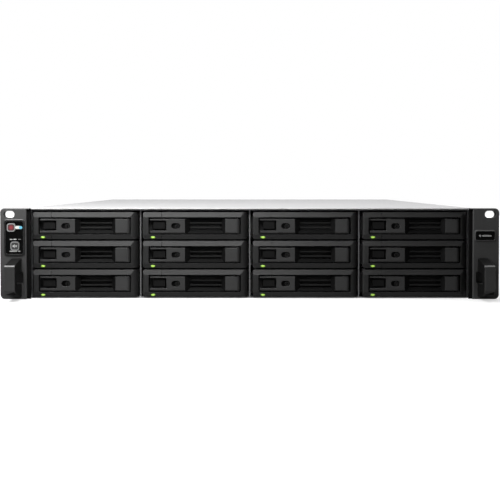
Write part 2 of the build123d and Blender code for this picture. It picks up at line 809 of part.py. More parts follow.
def make_impeller():
    """One impeller on its own axis: hub cup and seven curved blades."""
    front_y, rear_y = fan_y + 3.0, fan_y + fan_depth - 4.0
    blade_count = 7
    blade_pitch = 52.0
    chord = 27.0
    with BuildPart() as impeller:
        with BuildSketch(Plane.XZ.offset(-front_y)):
            Circle(hub_r)
            Circle(shaft_r + running_gap, mode=Mode.SUBTRACT)
        extrude(amount=-(rear_y - front_y))
        with BuildSketch(Plane.XZ.offset(-rear_y)):
            Circle(hub_r - 1.8)
        extrude(amount=rear_y - front_y - 4.0, mode=Mode.SUBTRACT)
        with BuildSketch(Plane.XZ.offset(-front_y)):
            Circle(3.6)
            Circle(shaft_r + running_gap, mode=Mode.SUBTRACT)
        extrude(amount=-(rear_y - front_y - 1.0))
        front_rim = impeller.faces().sort_by(Axis.Y)[0].outer_wire().edges()
        fillet(front_rim, 1.5)
    middle = (0, (front_y + rear_y) / 2, hub_r - 1.2)
    pitched = Plane(origin=middle, z_dir=(0, 0, 1)).rotated((0, 0, blade_pitch))
    with BuildPart() as blade:
        with BuildSketch(pitched):
            with BuildLine():
                ThreePointArc((-chord / 2, 0), (0, 4.4), (chord / 2, 0))
                ThreePointArc((-chord / 2, 0), (0, 2.6), (chord / 2, 0))
            make_face()
        extrude(amount=fan_bore_r - hub_r)
        with BuildSketch(Plane.XZ.offset(-front_y + 1)):
            Circle(impeller_r)
        extrude(amount=-(rear_y - front_y + 2), mode=Mode.INTERSECT)
    with BuildPart() as whole:
        add(impeller.part)
        for number in range(blade_count):
            add(blade.part.rotate(Axis.Y, 360 / blade_count * number))
    return whole.part


save(make_backplane(), "backplane")
fan_centre_z = fan_z + fan_size / 2
fan_frame = make_fan_frame()
impeller = make_impeller()
save(group(*[fan_frame.moved(Location((x, 0, fan_centre_z))) for x in fan_centres]), "fan_frames")
for number, x in enumerate(fan_centres, start=1):
    save(impeller.moved(Location((x, 0, fan_centre_z))), f"impeller_{number}")


# ================================================================ main board
heatsink_place = (20.0, 90.0)
heatsink_size = (92.0, 96.0)
socket_top_z = board_z + board_sheet + 6.0
memory_x = (-62.0, -52.0, -42.0, -32.0, 78.0, 88.0, 98.0, 108.0)
memory_y = (24.0, 157.0)


def make_mainboard():
    """Main board with processor socket, memory modules, power stages, chips and rear ports."""
    top = board_z + board_sheet
    x, y = heatsink_place
    with BuildPart() as board:
        block(board_x, board_y, (board_z, top))
        with Locations(*[(sx, sy, board_z) for sx in standoff_x for sy in standoff_y]):
            Cylinder(1.7, 8, mode=Mode.SUBTRACT)
    with BuildPart() as memory:
        for slot_x in memory_x:
            block((slot_x - 3.2, slot_x + 3.2), (memory_y[0] - 4, memory_y[1] + 4), (top, top + 7))
            block((slot_x - 0.7, slot_x + 0.7), memory_y, (top + 7, top + 31))
            for chip in range(8):
                chip_y = memory_y[0] + 6 + 15.6 * chip
                block((slot_x - 1.8, slot_x + 1.8), (chip_y, chip_y + 11), (top + 12, top + 24))
    with BuildPart() as parts:
        block((x - 39, x + 39), (y - 36, y + 36), (top, socket_top_z))
        for step in range(8):
            block((x - 38 + 10 * step, x - 30 + 10 * step), (y + 62, y + 70), (top, top + 6))
        block((-150, -118), (60, 92), (top, top + 9))
        block((-190, -182), (-30, 40), (top, top + 9))
        for step in range(4):
            block((-170 + 22 * step, -154 + 22 * step), (-48, -36), (top, top + 11))
        with Locations(*[(x - 36 + 14 * step, y + 80, top + 5) for step in range(6)]):
            Cylinder(4, 10)
        for slot_x in slot_cover_x[:3]:
            block((slot_x - 3.8, slot_x + 3.8), (200, 290), (top, top + 11))
    with BuildPart() as ports:
        for port_x in port_row:
            block((port_x - 8, port_x + 8), (board_y[1] - 16, body_rear_y), (top, top + 13.7))
            jack_z = (top + 2.2, top + 11.2)
            block((port_x - 6, port_x + 6), (body_rear_y - 13, body_rear_y + 1), jack_z, mode=Mode.SUBTRACT)
            notch = (port_x - 3, port_x + 3)
            notch_z = (top + 11.0, top + 12.6)
            block(notch, (body_rear_y - 13, body_rear_y + 1), notch_z, mode=Mode.SUBTRACT)
        for port_x in usb_row:
            block((port_x - 7.1, port_x + 7.1), (board_y[1] - 14, body_rear_y), (top, top + 16))
            for low in (top + 1.2, top + 8.8):
                socket_z = (low, low + 5.4)
                socket_x = (port_x - 6.4, port_x + 6.4)
                block(socket_x, (body_rear_y - 14, body_rear_y + 1), socket_z, mode=Mode.SUBTRACT)
                block((port_x - 5.4, port_x + 5.4), (body_rear_y - 14, body_rear_y - 1), (low + 3, low + 4.6))
    return group(board.part, memory.part, parts.part, ports.part)


def make_heatsink():
    """Finned processor heatsink with its base plate and corner screws."""
    x, y = heatsink_place
    half_x, half_y = heatsink_size[0] / 2, heatsink_size[1] / 2
    plate_top = socket_top_z + 5.0
    fin_count = 24
    with BuildPart() as sink:
        block((x - half_x, x + half_x), (y - half_y, y + half_y), (socket_top_z, plate_top))
        pitch = (heatsink_size[0] - 1.0) / (fin_count - 1)
        for number in range(fin_count):
            left = x - half_x + pitch * number
            block((left, left + 1.0), (y - half_y, y + half_y), (plate_top, 76))
    return sink.part


save(make_mainboard(), "mainboard")
save(make_heatsink(), "heatsink")


# ================================================================ power supplies
latch_x = (29.6, 34.6)  # from the module's middle
latch_z = (8.0, 31.0)  # from the module's underside
latch_travel = 3.0
latch_reach = 16.0
inlet_x, inlet_z = 14.6, 13.6
inlet_size = (24.6, 17.0)
inlet_pins = [(inlet_x - 7, inlet_z - 2), (inlet_x, inlet_z + 2), (inlet_x + 7, inlet_z - 2)]
psu_lamp_place = (7.0, 34.0)
grille_x, grille_z, grille_r = -18.6, 19.5, 15.6


def make_psu():
    """One supply module at the bay's middle on its underside: case, handle, inlet, grille and contacts."""
    width, length, tall = psu_size
    half = width / 2
    rear_y = body_rear_y
    with BuildPart() as psu:
        block((-half, half), (rear_y - length, rear_y), (0, tall))
        lengthwise = psu.edges().filter_by(Axis.Y)
        fillet(lengthwise, 0.8)
        # inlet
        with BuildSketch(Plane.XZ.offset(-rear_y - 1)):
            with Locations((inlet_x, inlet_z)):
                Rectangle(*inlet_size)
        extrude(amount=17, mode=Mode.SUBTRACT)
        for pin_x, pin_z in inlet_pins:
            block((pin_x - 1, pin_x + 1), (rear_y - 17, rear_y - 4), (pin_z - 2, pin_z + 2))
        with BuildSketch(Plane.XZ.offset(-rear_y)):
            with Locations(psu_lamp_place):
                Circle(1.5)
        extrude(amount=-0.6)
        # grille over the module's own fan
        with BuildSketch(Plane.XZ.offset(-rear_y - 1)):
            with Locations((grille_x, grille_z)):
                for ring_r in (5.4, 9.0, 12.6):
                    Circle(ring_r + 1.3)
                    Circle(ring_r - 1.3, mode=Mode.SUBTRACT)
                with PolarLocations(grille_r / 2, 3, start_angle=30):
                    Rectangle(grille_r, 1.6, mode=Mode.SUBTRACT)
        extrude(amount=12, mode=Mode.SUBTRACT)
        # channel for the latch
        channel_x = (latch_x[0] - latch_travel - clearance, half + 1)
        channel_z = (latch_z[0] - clearance, latch_z[1] + clearance)
        block(channel_x, (rear_y - 34, rear_y + 1), channel_z, mode=Mode.SUBTRACT)
        # air slots in front and the edge contacts
        for step in range(9):
            left = -33 + 7.6 * step
            block((left, left + 5), (rear_y - length - 1, rear_y - length + 4), (20, 34), mode=Mode.SUBTRACT)
        block((-24, 24), (rear_y - length - 7, rear_y - length), (7, 8.6))
        # handle loop
        with BuildSketch(Plane.YZ.offset(-2.6)):
            with Locations((rear_y + psu_handle_reach / 2, tall / 2)):
                RectangleRounded(psu_handle_reach, 31.0, 5.0)
            with Locations((rear_y + psu_handle_reach / 2 - 2.2, tall / 2)):
                RectangleRounded(psu_handle_reach - 5.6, 23.0, 3.0, mode=Mode.SUBTRACT)
            with Locations((rear_y + 2.5, tall / 2)):
                Rectangle(5.0, 31.0)
        extrude(amount=3.6)
    return psu.part


def make_psu_latch():
    """The latch: tongue along the module's side, thumb tab behind and a hook for the bay's edge."""
    x0, x1 = latch_x
    z0, z1 = latch_z
    with BuildPart() as latch:
        block((x0 + 2.4, x1), (body_rear_y - 32, body_rear_y + 2), (z0, z1))
        block((x0, x1 - 1.2), (body_rear_y + 2, body_rear_y + latch_reach), (z0 + 3, z1 - 3))
        tab = latch.edges().filter_by(Axis.X).group_by(Axis.Y)[-1]
        fillet(tab, 4.0)
        for step in range(4):
            groove_y = body_rear_y + 5.5 + 2.6 * step
            block((x0 - 1, x0 + 0.6), (groove_y, groove_y + 1.0), (z0 + 5, z1 - 5), mode=Mode.SUBTRACT)
    return latch.part


psu = make_psu()
psu_latch = make_psu_latch()
for number, floor_z in enumerate(psu_floors, start=1):
    place = Location((psu_centre_x, 0, floor_z))
    save(psu.moved(place), f"psu_{number}")
    save(psu_latch.moved(place), f"psu_latch_{number}")
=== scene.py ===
"""The looks of a two-unit rack storage unit with twelve drive bays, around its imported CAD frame.

Everything is in metres in the row frame: +X right seen from the front, +Y to the back, +Z up.
"""

import math

import bmesh
import bpy
import numpy as np
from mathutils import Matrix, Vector


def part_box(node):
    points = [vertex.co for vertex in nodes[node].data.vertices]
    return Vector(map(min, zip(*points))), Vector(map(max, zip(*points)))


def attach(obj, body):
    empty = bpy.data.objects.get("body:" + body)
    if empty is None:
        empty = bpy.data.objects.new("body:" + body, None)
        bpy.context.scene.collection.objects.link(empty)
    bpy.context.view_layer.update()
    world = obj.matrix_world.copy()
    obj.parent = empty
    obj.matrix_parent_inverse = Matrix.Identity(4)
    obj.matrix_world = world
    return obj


MM = 0.001
BAYS = [f"{number:02d}" for number in range(1, 13)]
INLET_PINS = ((7.6, 11.6), (14.6, 15.6), (21.6, 11.6))  # from a supply's middle and underside
LIGHT_PLACE = (-40.6, 0.62, 1.95)  # a bay's status light, from the tray's own origin
PRINT = 0.12  # thickness of the printed marks, in millimetres
PORTS = (-78.0, -60.0, -42.0, -24.0)  # middles of the network ports, in millimetres
FLOOR_HALF = 2.6
FLOOR_GLOW = 0.50
FLOOR_PALE = (0.52, 0.56)  # the floor's greys to the camera
FLOOR_THROWN = (0.15, 0.62)  # and to the object, in front of it and behind it
SURROUND = (0.06, 0.75)  # the surround's strength in front and behind

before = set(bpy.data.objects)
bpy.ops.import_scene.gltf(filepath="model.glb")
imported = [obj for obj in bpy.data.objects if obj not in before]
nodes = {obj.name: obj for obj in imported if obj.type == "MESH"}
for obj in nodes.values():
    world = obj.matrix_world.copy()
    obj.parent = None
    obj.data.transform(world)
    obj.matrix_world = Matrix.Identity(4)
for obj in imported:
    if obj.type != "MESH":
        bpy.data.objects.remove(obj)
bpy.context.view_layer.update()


# ---------------------------------------------------------------- shader helpers
class Shader:
    """A material under construction, with short ways to add and join its nodes."""

    def __init__(self, name):
        self.material = bpy.data.materials.new(name)
        self.material.use_nodes = True
        self.tree = self.material.node_tree
        self.principled = self.tree.nodes["Principled BSDF"]

    def add(self, kind, inputs=None, **settings):
        """Adds a node. inputs maps a socket's name or number to a value or to another node's output."""
        node = self.tree.nodes.new("ShaderNode" + kind)
        for key, value in settings.items():
            setattr(node, key, value)
        for key, value in (inputs or {}).items():
            self.feed(node.inputs[key], value)
        return node

    def feed(self, socket, value):
        """Sets a socket to a plain value, or links it to an output."""
        if isinstance(value, bpy.types.NodeSocket):
            self.tree.links.new(value, socket)
        else:
            socket.default_value = value

    def set(self, **inputs):
        """Sets or links sockets of the Principled shader, spaces written as underscores."""
        for key, value in inputs.items():
            self.feed(self.principled.inputs[key.replace("_", " ")], value)

    def math(self, operation, a, b=0.0, clamp=False):
        return self.add("Math", {0: a, 1: b}, operation=operation, use_clamp=clamp).outputs[0]

    def ramp(self, value, low, high, to_low=0.0, to_high=1.0):
        """A clamped straight ramp."""
        inputs = {"Value": value, "From Min": low, "From Max": high, "To Min": to_low, "To Max": to_high}
        return self.add("MapRange", inputs).outputs[0]

    def mix(self, factor, a, b):
        """A mix of two colours."""
        node = self.add("Mix", data_type="RGBA")
        colours = [socket for socket in node.inputs if socket.type == "RGBA"]
        self.feed(node.inputs[0], factor)
        self.feed(colours[0], a)
        self.feed(colours[1], b)
        return [socket for socket in node.outputs if socket.type == "RGBA"][0]

    def place(self, stretch=(1.0, 1.0, 1.0)):
        """Coordinates on the piece in millimetres, divided by stretch."""
        coords = self.add("TexCoord").outputs["Object"]
        scale = tuple(1.0 / (MM * s) for s in stretch)
        return self.add("Mapping", {"Vector": coords, "Scale": scale}).outputs[0]

    def noise(self, size_mm, detail=2.0, stretch=(1.0, 1.0, 1.0), roughness=0.5):
        """Noise with features of about size_mm."""
        inputs = {
            "Vector": self.place(stretch),
            "Scale": 1.0 / size_mm,
            "Detail": detail,
            "Roughness": roughness,
        }
        return self.add("TexNoise", inputs).outputs[0]


def grey(value, tint=(0.0, 0.0, 0.0)):
    """A neutral linear colour with a slight tint."""
    return (value + tint[0], value + tint[1], value + tint[2], 1.0)


def shade(colour, factor):
    """A colour made lighter or darker."""
    return tuple(min(1.0, channel * factor) for channel in colour[:3]) + (1.0,)


def make_surface(
    name,
    colour,
    roughness,
    metallic=0.0,
    grain_mm=0.5,
    grain_depth_mm=0.02,
    spread=0.12,
    rough_spread=0.06,
    bevel_mm=0.25,
    wear=0.25,
    wear_colour=None,
    stretch=(1.0, 1.0, 1.0),
    specular=0.5,
    coat=0.0,
):
    """The common base of most finishes: grained colour, lighter rubbed edges that some finishes push up into
    a painted edge highlight, varied gloss and bump.
    """
    shader = Shader(name)
    grain = shader.noise(grain_mm, 3.0, stretch)
    broad = shader.noise(45.0, 2.0)
    bevel = shader.add("Bevel", {"Radius": bevel_mm * MM}, samples=4).outputs[0]
    flat = shader.add("NewGeometry").outputs["Normal"]
    facing = shader.add("VectorMath", {0: bevel, 1: flat}, operation="DOT_PRODUCT").outputs["Value"]
    edge = shader.ramp(facing, 0.995, 0.86)
    patchy = shader.ramp(shader.noise(3.0, 4.0), 0.38, 0.62, 0.25, 1.0)
    # edges lighten by this mask: rubbed edges, and on the lever, the raised frame and the ears a painted
    # highlight too
    rubbed_and_lit_edges = shader.math("MULTIPLY", shader.math("MULTIPLY", edge, patchy), wear)
    base = shader.mix(shader.ramp(broad, 0.3, 0.7), shade(colour, 1 - spread), shade(colour, 1 + spread))
    speck = shader.ramp(grain, 0.35, 0.65, 0.0, 0.35)
    base = shader.mix(speck, base, shade(colour, 1 - 1.6 * spread))
    base = shader.mix(rubbed_and_lit_edges, base, wear_colour or shade(colour, 2.2))
    gloss = shader.ramp(grain, 0.3, 0.7, roughness - rough_spread, roughness + rough_spread)
    gloss = shader.math("ADD", gloss, shader.ramp(broad, 0.3, 0.7, -0.03, 0.03), clamp=True)
    bump_inputs = {"Strength": 1.0, "Distance": grain_depth_mm * MM, "Height": grain, "Normal": bevel}
    bump = shader.add("Bump", bump_inputs).outputs[0]
    shader.set(Base_Color=base, Roughness=gloss, Metallic=metallic, Normal=bump)
    shader.set(Specular_IOR_Level=specular, Coat_Weight=coat)
    return shader


def make_sheet_metal(name, colour, roughness=0.38):
    """Galvanised sheet: soft crystal patches, fine drawn lines and bright sheared edges."""
    shader = make_surface(
        name,
        colour,
        roughness,
        metallic=1.0,
        grain_mm=0.35,
        grain_depth_mm=0.004,
        spread=0.06,
        rough_spread=0.05,
        bevel_mm=0.2,
        wear=0.5,
        wear_colour=shade(colour, 1.25),
        stretch=(1.0, 14.0, 1.0),
    )
    cells = shader.add("TexVoronoi", {"Vector": shader.place(), "Scale": 1.0 / 7.0})
    level = shader.add("SeparateColor", {"Color": cells.outputs["Color"]}).outputs[0]
    base = shader.principled.inputs["Base Color"].links[0].from_socket
    spangle = shader.mix(shader.math("MULTIPLY", level, 0.22), base, shade(colour, 0.72))
    shader.set(Base_Color=spangle)
    return shader.material


def make_plastic(name, colour, roughness, **options):
    """Moulded plastic with a fine spark-eroded texture."""
    settings = {"grain_mm": 0.42, "grain_depth_mm": 0.018, "bevel_mm": 0.35, "wear": 0.3}
    settings.update(options)
    return make_surface(name, colour, roughness, **settings).material


def make_metal(name, colour, roughness, grain_mm, grain_depth_mm, metallic=1.0, **options):
    """Bare or plated metal."""
    grain = {"grain_mm": grain_mm, "grain_depth_mm": grain_depth_mm}
    return make_surface(name, colour, roughness, metallic=metallic, **grain, **options).material


def make_coat(name, colour, roughness, grain_mm, **options):
    """Black powder coat on sheet."""
    grain = {"grain_mm": grain_mm, "grain_depth_mm": 0.02}
    return make_surface(name, colour, roughness, **grain, **options).material


def make_cover_coat():
    """Light satin powder coat with orange peel."""
    shader = make_surface(
        "cover_coat",
        grey(0.43, (0.0, 0.0, 0.004)),
        0.56,
        grain_mm=1.1,
        grain_depth_mm=0.018,
        spread=0.02,
        rough_spread=0.04,
        bevel_mm=0.5,
        wear=0.35,
        wear_colour=grey(0.60),
        specular=0.22,
    )
    return shader.material


def make_gloss_black():
    """Polished black acrylic with faint handling haze."""
    shader = Shader("gloss_black")
    haze = shader.noise(9.0, 4.0)
    dust = shader.ramp(shader.noise(0.5, 2.0), 0.66, 0.74)
    bevel = shader.add("Bevel", {"Radius": 0.25 * MM}, samples=4).outputs[0]
    bump = shader.add(
        "Bump", {"Strength": 0.3, "Distance": 0.003 * MM, "Height": haze, "Normal": bevel}
    ).outputs[0]
    base = shader.mix(shader.math("MULTIPLY", dust, 0.2), grey(0.0025), grey(0.02))
    shader.set(Base_Color=base, Roughness=shader.ramp(haze, 0.3, 0.7, 0.10, 0.2), Normal=bump)
    shader.set(Specular_IOR_Level=0.2)
    return shader.material


def make_lamp(name, colour, strength, body=None):
    """A lit lens with a soft mottled diffuser."""
    shader = Shader(name)
    mottle = shader.noise(0.8, 2.0)
    base = shader.mix(shader.ramp(mottle, 0.3, 0.7), body or shade(colour, 0.7), colour)
    shader.set(Base_Color=base, Roughness=shader.ramp(mottle, 0.3, 0.7, 0.3, 0.42))
    shader.set(Emission_Color=colour, Emission_Strength=strength)
    return shader.material


def make_board(name, colour):
    """Solder mask over copper: fine traces, a scatter of vias and a satin gloss."""
    shader = Shader(name)
    place = shader.place()
    brick_inputs = {
        "Vector": place,
        "Scale": 0.22,
        "Mortar Size": 0.012,
        "Color1": colour,
        "Color2": shade(colour, 0.85),
        "Mortar": shade(colour, 1.9),
    }
    traces = shader.add("TexBrick", brick_inputs).outputs["Color"]
    vias = shader.add("TexVoronoi", {"Vector": place, "Scale": 0.35}).outputs["Distance"]
    ring = shader.ramp(vias, 0.16, 0.13)
    base = shader.mix(shader.math("MULTIPLY", ring, 0.8), traces, (0.45, 0.42, 0.30, 1.0))
    grain = shader.noise(0.8, 2.0)
    bump = shader.add("Bump", {"Strength": 0.5, "Distance": 0.02 * MM, "Height": grain}).outputs[0]
    shader.set(Base_Color=base, Roughness=shader.ramp(grain, 0.3, 0.7, 0.28, 0.42), Normal=bump)
    return shader.material


def make_power_face(node):
    """The power key's dark face, with a red glow behind its middle."""
    low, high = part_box(node)
    centre = (low + high) / 2
    shader = Shader("power_face")
    coords = shader.add("TexCoord").outputs["Object"]
    offset = shader.add("VectorMath", {0: coords, 1: tuple(centre)}, operation="SUBTRACT").outputs[0]
    flat = shader.add("VectorMath", {0: offset, 1: (1.0, 0.0, 1.0)}, operation="MULTIPLY").outputs[0]
    distance = shader.add("VectorMath", {0: flat}, operation="LENGTH").outputs["Value"]
    glow = shader.ramp(distance, 3.2 * MM, 0.8 * MM)
    grain = shader.noise(0.4, 2.0)
    bump = shader.add("Bump", {"Strength": 0.6, "Distance": 0.01 * MM, "Height": grain}).outputs[0]
    base = shader.mix(glow, grey(0.03), (0.16, 0.03, 0.035, 1.0))
    shader.set(Base_Color=base, Roughness=shader.ramp(grain, 0.3, 0.7, 0.35, 0.5), Normal=bump)
    shader.set(Emission_Color=(0.75, 0.05, 0.07, 1.0), Emission_Strength=shader.math("MULTIPLY", glow, 0.22))
    return shader.material


# black mouldings of the front
bezel_plastic = make_plastic("bezel_plastic", grey(0.023), 0.48, specular=0.35)
# the lever's edge lightening is turned up into a painted highlight, a thin light line along its edges
lever_wear = {"bevel_mm": 0.5, "wear": 1.0, "wear_colour": grey(0.11)}
lever_plastic = make_plastic("lever_plastic", grey(0.038), 0.44, **lever_wear)
button_plastic = make_plastic("button_plastic", grey(0.007), 0.5, specular=0.2)
# the ears' edges lighten more than the other mouldings': rubbed edges and a painted highlight along the
# bevels
ear_plastic = make_plastic("ear_plastic", grey(0.060), 0.42, bevel_mm=0.6, wear=0.55)
# the raised frame's edge lightening is turned up into a painted highlight along its edges
frame_wear = {"bevel_mm": 0.4, "wear": 1.0, "wear_colour": grey(0.12)}
frame_plastic = make_plastic("frame_plastic", grey(0.014), 0.34, **frame_wear)
handle_plastic = make_plastic("handle_plastic", grey(0.046), 0.42, bevel_mm=0.4)
# painted highlight: a light grey band on the handle's top chamfer, the ear's top edge and the top edges of
# the two raised window frames
painted_highlight = make_plastic("painted_highlight", grey(0.11), 0.4, bevel_mm=0.3)
# near-black painted shade for the handles' arms and sides, all but the front bar
handle_painted_shade = make_plastic("handle_painted_shade", grey(0.005), 0.5, bevel_mm=0.4, specular=0.15)
# painted shade in the lever's scoop: darker grey on the bars between the slots, near-black on the rest
scoop_bar_painted_shade = make_plastic("scoop_bar_painted_shade", grey(0.013), 0.55, wear=0.1, specular=0.25)
scoop_deep_painted_shade = make_plastic("scoop_deep_painted_shade", grey(0.004), 0.6, wear=0.1, specular=0.1)
# painted shade: near-black on the ears' inner lip, the ear slots' walls and the lever's lock pit
painted_shade_black = make_plastic("painted_shade_black", grey(0.003), 0.6, wear=0.0, specular=0.12)
# painted shade: a near-black sheet behind the scoop's slots stands in for the shade inside the tray
slot_sheet_grain = {"grain_mm": 0.9, "grain_depth_mm": 0.2}
slot_painted_shade = make_plastic("slot_painted_shade", grey(0.004), 0.85, wear=0.0, specular=0.1, **slot_sheet_grain)
gloss_black = make_gloss_black()

# keys, prints and lamps
key_ring = make_plastic("key_ring", grey(0.34), 0.38, wear=0.1, grain_depth_mm=0.006)
key_face = make_plastic("key_face", grey(0.045), 0.42, grain_depth_mm=0.006)
key_print = make_plastic("key_print", grey(0.62), 0.5, wear=0.0, grain_depth_mm=0.004)
plate_print = make_plastic("plate_print", grey(0.42), 0.5, wear=0.0, grain_depth_mm=0.004)
faint_print = make_plastic("faint_print", grey(0.16), 0.5, wear=0.0, grain_depth_mm=0.004)
led_green = make_lamp("led_green", (0.42, 0.66, 0.11, 1.0), 0.52)
led_rim = make_lamp("led_rim", (0.06, 0.16, 0.01, 1.0), 0.35)
led_cyan = make_lamp("led_cyan", (0.10, 0.40, 0.56, 1.0), 0.25, (0.16, 0.48, 0.62, 1.0))
led_white = make_lamp("led_white", (0.74, 0.76, 0.72, 1.0), 0.25)

# mouldings inside and at the back
fan_plastic = make_plastic("fan_plastic", grey(0.014), 0.42, grain_mm=0.8)
connector_plastic = make_plastic("connector_plastic", grey(0.018), 0.48, grain_mm=0.3)
ivory_plastic = make_plastic("ivory_plastic", (0.62, 0.60, 0.52, 1.0), 0.45, wear=0.1)
latch_green = make_plastic("latch_green", (0.035, 0.22, 0.09, 1.0), 0.4)
chip_black = make_plastic("chip_black", grey(0.02), 0.5, grain_mm=0.25, wear=0.1)
board_green = make_board("board_green", (0.012, 0.085, 0.04, 1.0))

# metals and coats
cover_coat = make_cover_coat()
# painted highlight: a light grey on the cover's bent front lip
cover_edge_painted_highlight = make_plastic("cover_edge_painted_highlight", grey(0.60), 0.42, wear=0.1)
galvanised = make_sheet_metal("galvanised", grey(0.56, (0.0, 0.004, 0.01)))
plated = make_sheet_metal("plated", grey(0.62), 0.3)
bracket_coat = make_coat("bracket_coat", grey(0.022), 0.42, 0.9)
handle_coat = make_coat("handle_coat", grey(0.02), 0.4, 0.8, bevel_mm=0.4)
lock_metal = make_metal("lock_metal", grey(0.022), 0.4, 0.3, 0.005, metallic=0.5, specular=0.3)
zinc = make_metal("zinc", grey(0.58), 0.32, 0.4, 0.004)
nickel = make_metal("nickel", grey(0.66), 0.24, 0.5, 0.003)
casting = make_metal("casting", grey(0.50), 0.45, 0.7, 0.03)
drawn = (1.0, 20.0, 1.0)
finned_aluminium = make_metal("finned_aluminium", grey(0.66), 0.34, 0.3, 0.006, stretch=drawn)


# ---------------------------------------------------------------- finishes on the CAD nodes
def within(centres, low, high):
    """Which face centres lie in a box given by its corners, in millimetres; None leaves a side open."""
    inside = np.ones(len(centres), bool)
    for axis in range(3):
        if low[axis] is not None:
            inside &= centres[:, axis] > low[axis]
        if high[axis] is not None:
            inside &= centres[:, axis] < high[axis]
    return inside


def finish_node(name, base, regions=(), origin=(0.0, 0.0, 0.0)):
    """Gives a CAD node its base material, and others in boxed regions, in millimetres from origin."""
    mesh = nodes[name].data
    mesh.materials.clear()
    mesh.materials.append(base)
    if not regions:
        return
    centres = np.empty(len(mesh.polygons) * 3)
    mesh.polygons.foreach_get("center", centres)
    centres = (centres.reshape(-1, 3) - np.array(origin)) / MM
    index = np.zeros(len(mesh.polygons), np.int32)
    for number, (material, low, high) in enumerate(regions, start=1):
        mesh.materials.append(material)
        index[within(centres, low, high)] = number
    mesh.polygons.foreach_set("material_index", index)
    mesh.update()


def tray_origin(bay):
    """The tray's own origin: middle of the bay, front face, lower edge."""
    low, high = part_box(f"drive_tray_{bay}")
    return ((low.x + high.x) / 2, low.y, low.z)


def finish_bays():
    """Bezels, rails, drives, lights, levers and buttons of every bay."""
    rail_x, rail_front = 50.85, 14.02
    drive_x, drive_front = 50.82, 23.9
    screw_x, screw_y, screw_z = (51.1, 52.0), (30.0, 150.0), (4.5, 8.6)
    light_low, light_high = (-42.9, 0.5, 0.8), (-38.3, 0.9, 3.2)
    slot_shade_low, slot_shade_high = (-8.9, 14.1, None), (31.0, 15.2, None)
    behind_face = 1.05
    scoop_x = (-9.55, 29.75)
    bars_x, bars_z = (-5.0, 26.0), (8.65, 18.9)
    for bay in BAYS:
        origin = tray_origin(bay)
        finish_node(
            f"drive_tray_{bay}",
            bezel_plastic,
            [
                (casting, (-drive_x, drive_front, None), (drive_x, None, None)),
                (galvanised, (rail_x, rail_front, None), (None, None, None)),
                (galvanised, (None, rail_front, None), (-rail_x, None, None)),
                (zinc, (screw_x[0], screw_y[0], screw_z[0]), (screw_x[1], screw_y[1], screw_z[1])),
                (zinc, (-screw_x[1], screw_y[0], screw_z[0]), (-screw_x[0], screw_y[1], screw_z[1])),
                (led_rim, light_low, light_high),
                # painted shade on the sheet behind the scoop's slots
                (slot_painted_shade, slot_shade_low, slot_shade_high),
            ],
            origin,
        )
        finish_node(
            f"tray_lever_{bay}",
            lever_plastic,
            [
                # the scoop takes a near-black painted shade, its bars between the slots a lighter painted
                # shade
                (scoop_deep_painted_shade, (scoop_x[0], behind_face, None), (scoop_x[1], None, None)),
                (scoop_bar_painted_shade, (bars_x[0], behind_face, bars_z[0]), (bars_x[1], None, bars_z[1])),
                # painted shade in the lock pit
                (painted_shade_black, (-22.9, behind_face, 10.0), (-14.1, 3.7, 15.7)),
                (lock_metal, (-19.4, 1.9, 10.1), (-14.8, 2.1, 14.8)),
            ],
            origin,
        )
        finish_node(f"release_button_{bay}", button_plastic)


def finish_body():
    """Sheet metal, ears, handles and the panel."""
    finish_node("chassis_base", galvanised)
    finish_node("drive_cage", galvanised)
    cover_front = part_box("top_cover")[0].y / MM
    # the cover's front lip takes a painted highlight
    finish_node("top_cover", cover_coat, [(cover_edge_painted_highlight, (None, None, None), (None, cover_front + 0.2, None))])
    for name in ("cover_screws", "body_screws"):
        finish_node(name, zinc)
    finish_node("rack_ear_brackets", bracket_coat)
    lip_x = 215.9
    low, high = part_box("ear_covers")
    ear_face, ear_top = low.y / MM + 1.1, high.z / MM
    panel_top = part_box("control_window")[1].z / MM + 2.1
    plate_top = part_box("name_plate")[1].z / MM + 1.3
    slot_x, slot_z = (226.0, 239.0), (71.0, 85.0)
    slot_front = ear_face + 0.5
    raised = ear_face - 0.05
    frame_edge, ear_edge = 0.8, 0.5
    finish_node(
        "ear_covers",
        ear_plastic,
        [
            # painted shade on the inner lip beside the trays and on the walls of the two ear slots
            (painted_shade_black, (-lip_x, None, None), (lip_x, None, None)),
            (painted_shade_black, (-slot_x[1], slot_front, slot_z[0]), (-slot_x[0], None, slot_z[1])),
            (painted_shade_black, (slot_x[0], slot_front, slot_z[0]), (slot_x[1], None, slot_z[1])),
            (frame_plastic, (None, None, None), (0.0, raised, None)),
            # painted highlights along the top edges of the panel frame, the name plate frame and the ear
            (painted_highlight, (None, None, panel_top - frame_edge), (0.0, raised, None)),
            (painted_highlight, (0.0, None, plate_top - frame_edge), (None, raised, None)),
            (painted_highlight, (None, None, ear_top - ear_edge), (None, ear_face + 0.4, None)),
        ],
    )
    bar_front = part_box("pull_handles")[0].y / MM + 2.7
    bar_foot, stripe_foot = 8.0, 33.7
    bar = (handle_plastic, (None, None, bar_foot), (None, bar_front, None))
    # the bar's top chamfer takes a painted highlight stripe
    stripe = (painted_highlight, (None, None, stripe_foot), (None, bar_front, None))
    # the handle's arms and sides take a near-black painted shade, the front bar its own grey
    finish_node("pull_handles", handle_painted_shade, [bar, stripe])
    finish_node("control_window", gloss_black)
    finish_node("name_plate", gloss_black)
    finish_node("power_button", make_power_face("power_button"))
    finish_node("mute_button", key_face)


